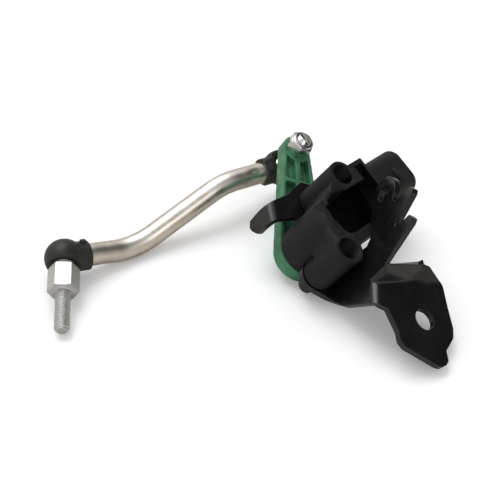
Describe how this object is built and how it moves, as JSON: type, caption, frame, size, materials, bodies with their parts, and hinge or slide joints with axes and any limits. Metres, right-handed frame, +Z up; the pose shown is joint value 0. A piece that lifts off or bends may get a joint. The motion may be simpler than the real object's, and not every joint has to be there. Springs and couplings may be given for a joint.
{
  "type": "ride height sensor",
  "caption": "Ride height sensor: black moulded body on a bent steel bracket, green lever, and a bent steel link with a ball joint at each end.",
  "frame": {"origin": "middle of the footprint of the whole sensor and link, on the surface that it lies on", "axes": "+Z up from that surface, +X from the link's free end towards the bracket's flange, +Y away from the viewer of the picture"},
  "size_m": [0.1604, 0.1212, 0.0543],
  "materials": {
    "sensor_black": "fine matte texture",
    "painted_steel": "glossy black coat",
    "zinc_steel": "bright zinc plate",
    "potting_resin": "poured black resin",
    "board": "green solder mask",
    "ceramic": "fired ceramic",
    "terminal_brass": "tinned brass",
    "bush_bronze": "sintered bronze",
    "seal_rubber": "moulded rubber",
    "socket_black": "smooth moulded plastic",
    "magnet_grey": "bonded magnet",
    "lever_green": "glass-filled plastic",
    "stainless_tube": "satin stainless"
  },
  "bodies": {
    "sensor": {"housing": "sensor_black", "bracket": "painted_steel", "housing_screw_1": "painted_steel", "housing_screw_2": "painted_steel", "potting": "potting_resin", "circuit_board": "board", "sensor_chip": "sensor_black", "capacitor_1": "ceramic", "capacitor_2": "ceramic", "terminal_1": "terminal_brass", "terminal_2": "terminal_brass", "terminal_3": "terminal_brass", "terminal_4": "terminal_brass", "shaft_bush": "bush_bronze", "shaft_seal": "seal_rubber"},
    "lever": {"shaft": "zinc_steel", "rotor_carrier": "socket_black", "ring_magnet": "magnet_grey", "lever_arm": "lever_green", "far_ball_stud": "zinc_steel", "lock_nut": "zinc_steel"},
    "link": {"far_socket": "socket_black", "link_tube": "stainless_tube", "near_socket": "socket_black"},
    "stud": {"near_ball_stud": "zinc_steel"}
  },
  "joints": [
    {"name": "lever_pivot", "type": "hinge", "parent": "sensor", "child": "lever", "pos_m": [0.02545, -0.00291, 0.01127], "axis": [0.459, -0.3004, 0.8361], "range_deg": [-40, 20]},
    {"name": "link_swing", "type": "hinge", "parent": "lever", "child": "link", "pos_m": [0.01723, 0.05246, 0.01655], "axis": [0.459, -0.3004, 0.8361], "continuous": true},
    {"name": "stud_turn", "type": "hinge", "parent": "link", "child": "stud", "pos_m": [-0.07207, -0.00774, 0.01182], "axis": [0.1089, -0.9657, -0.2357], "continuous": true}
  ]
}
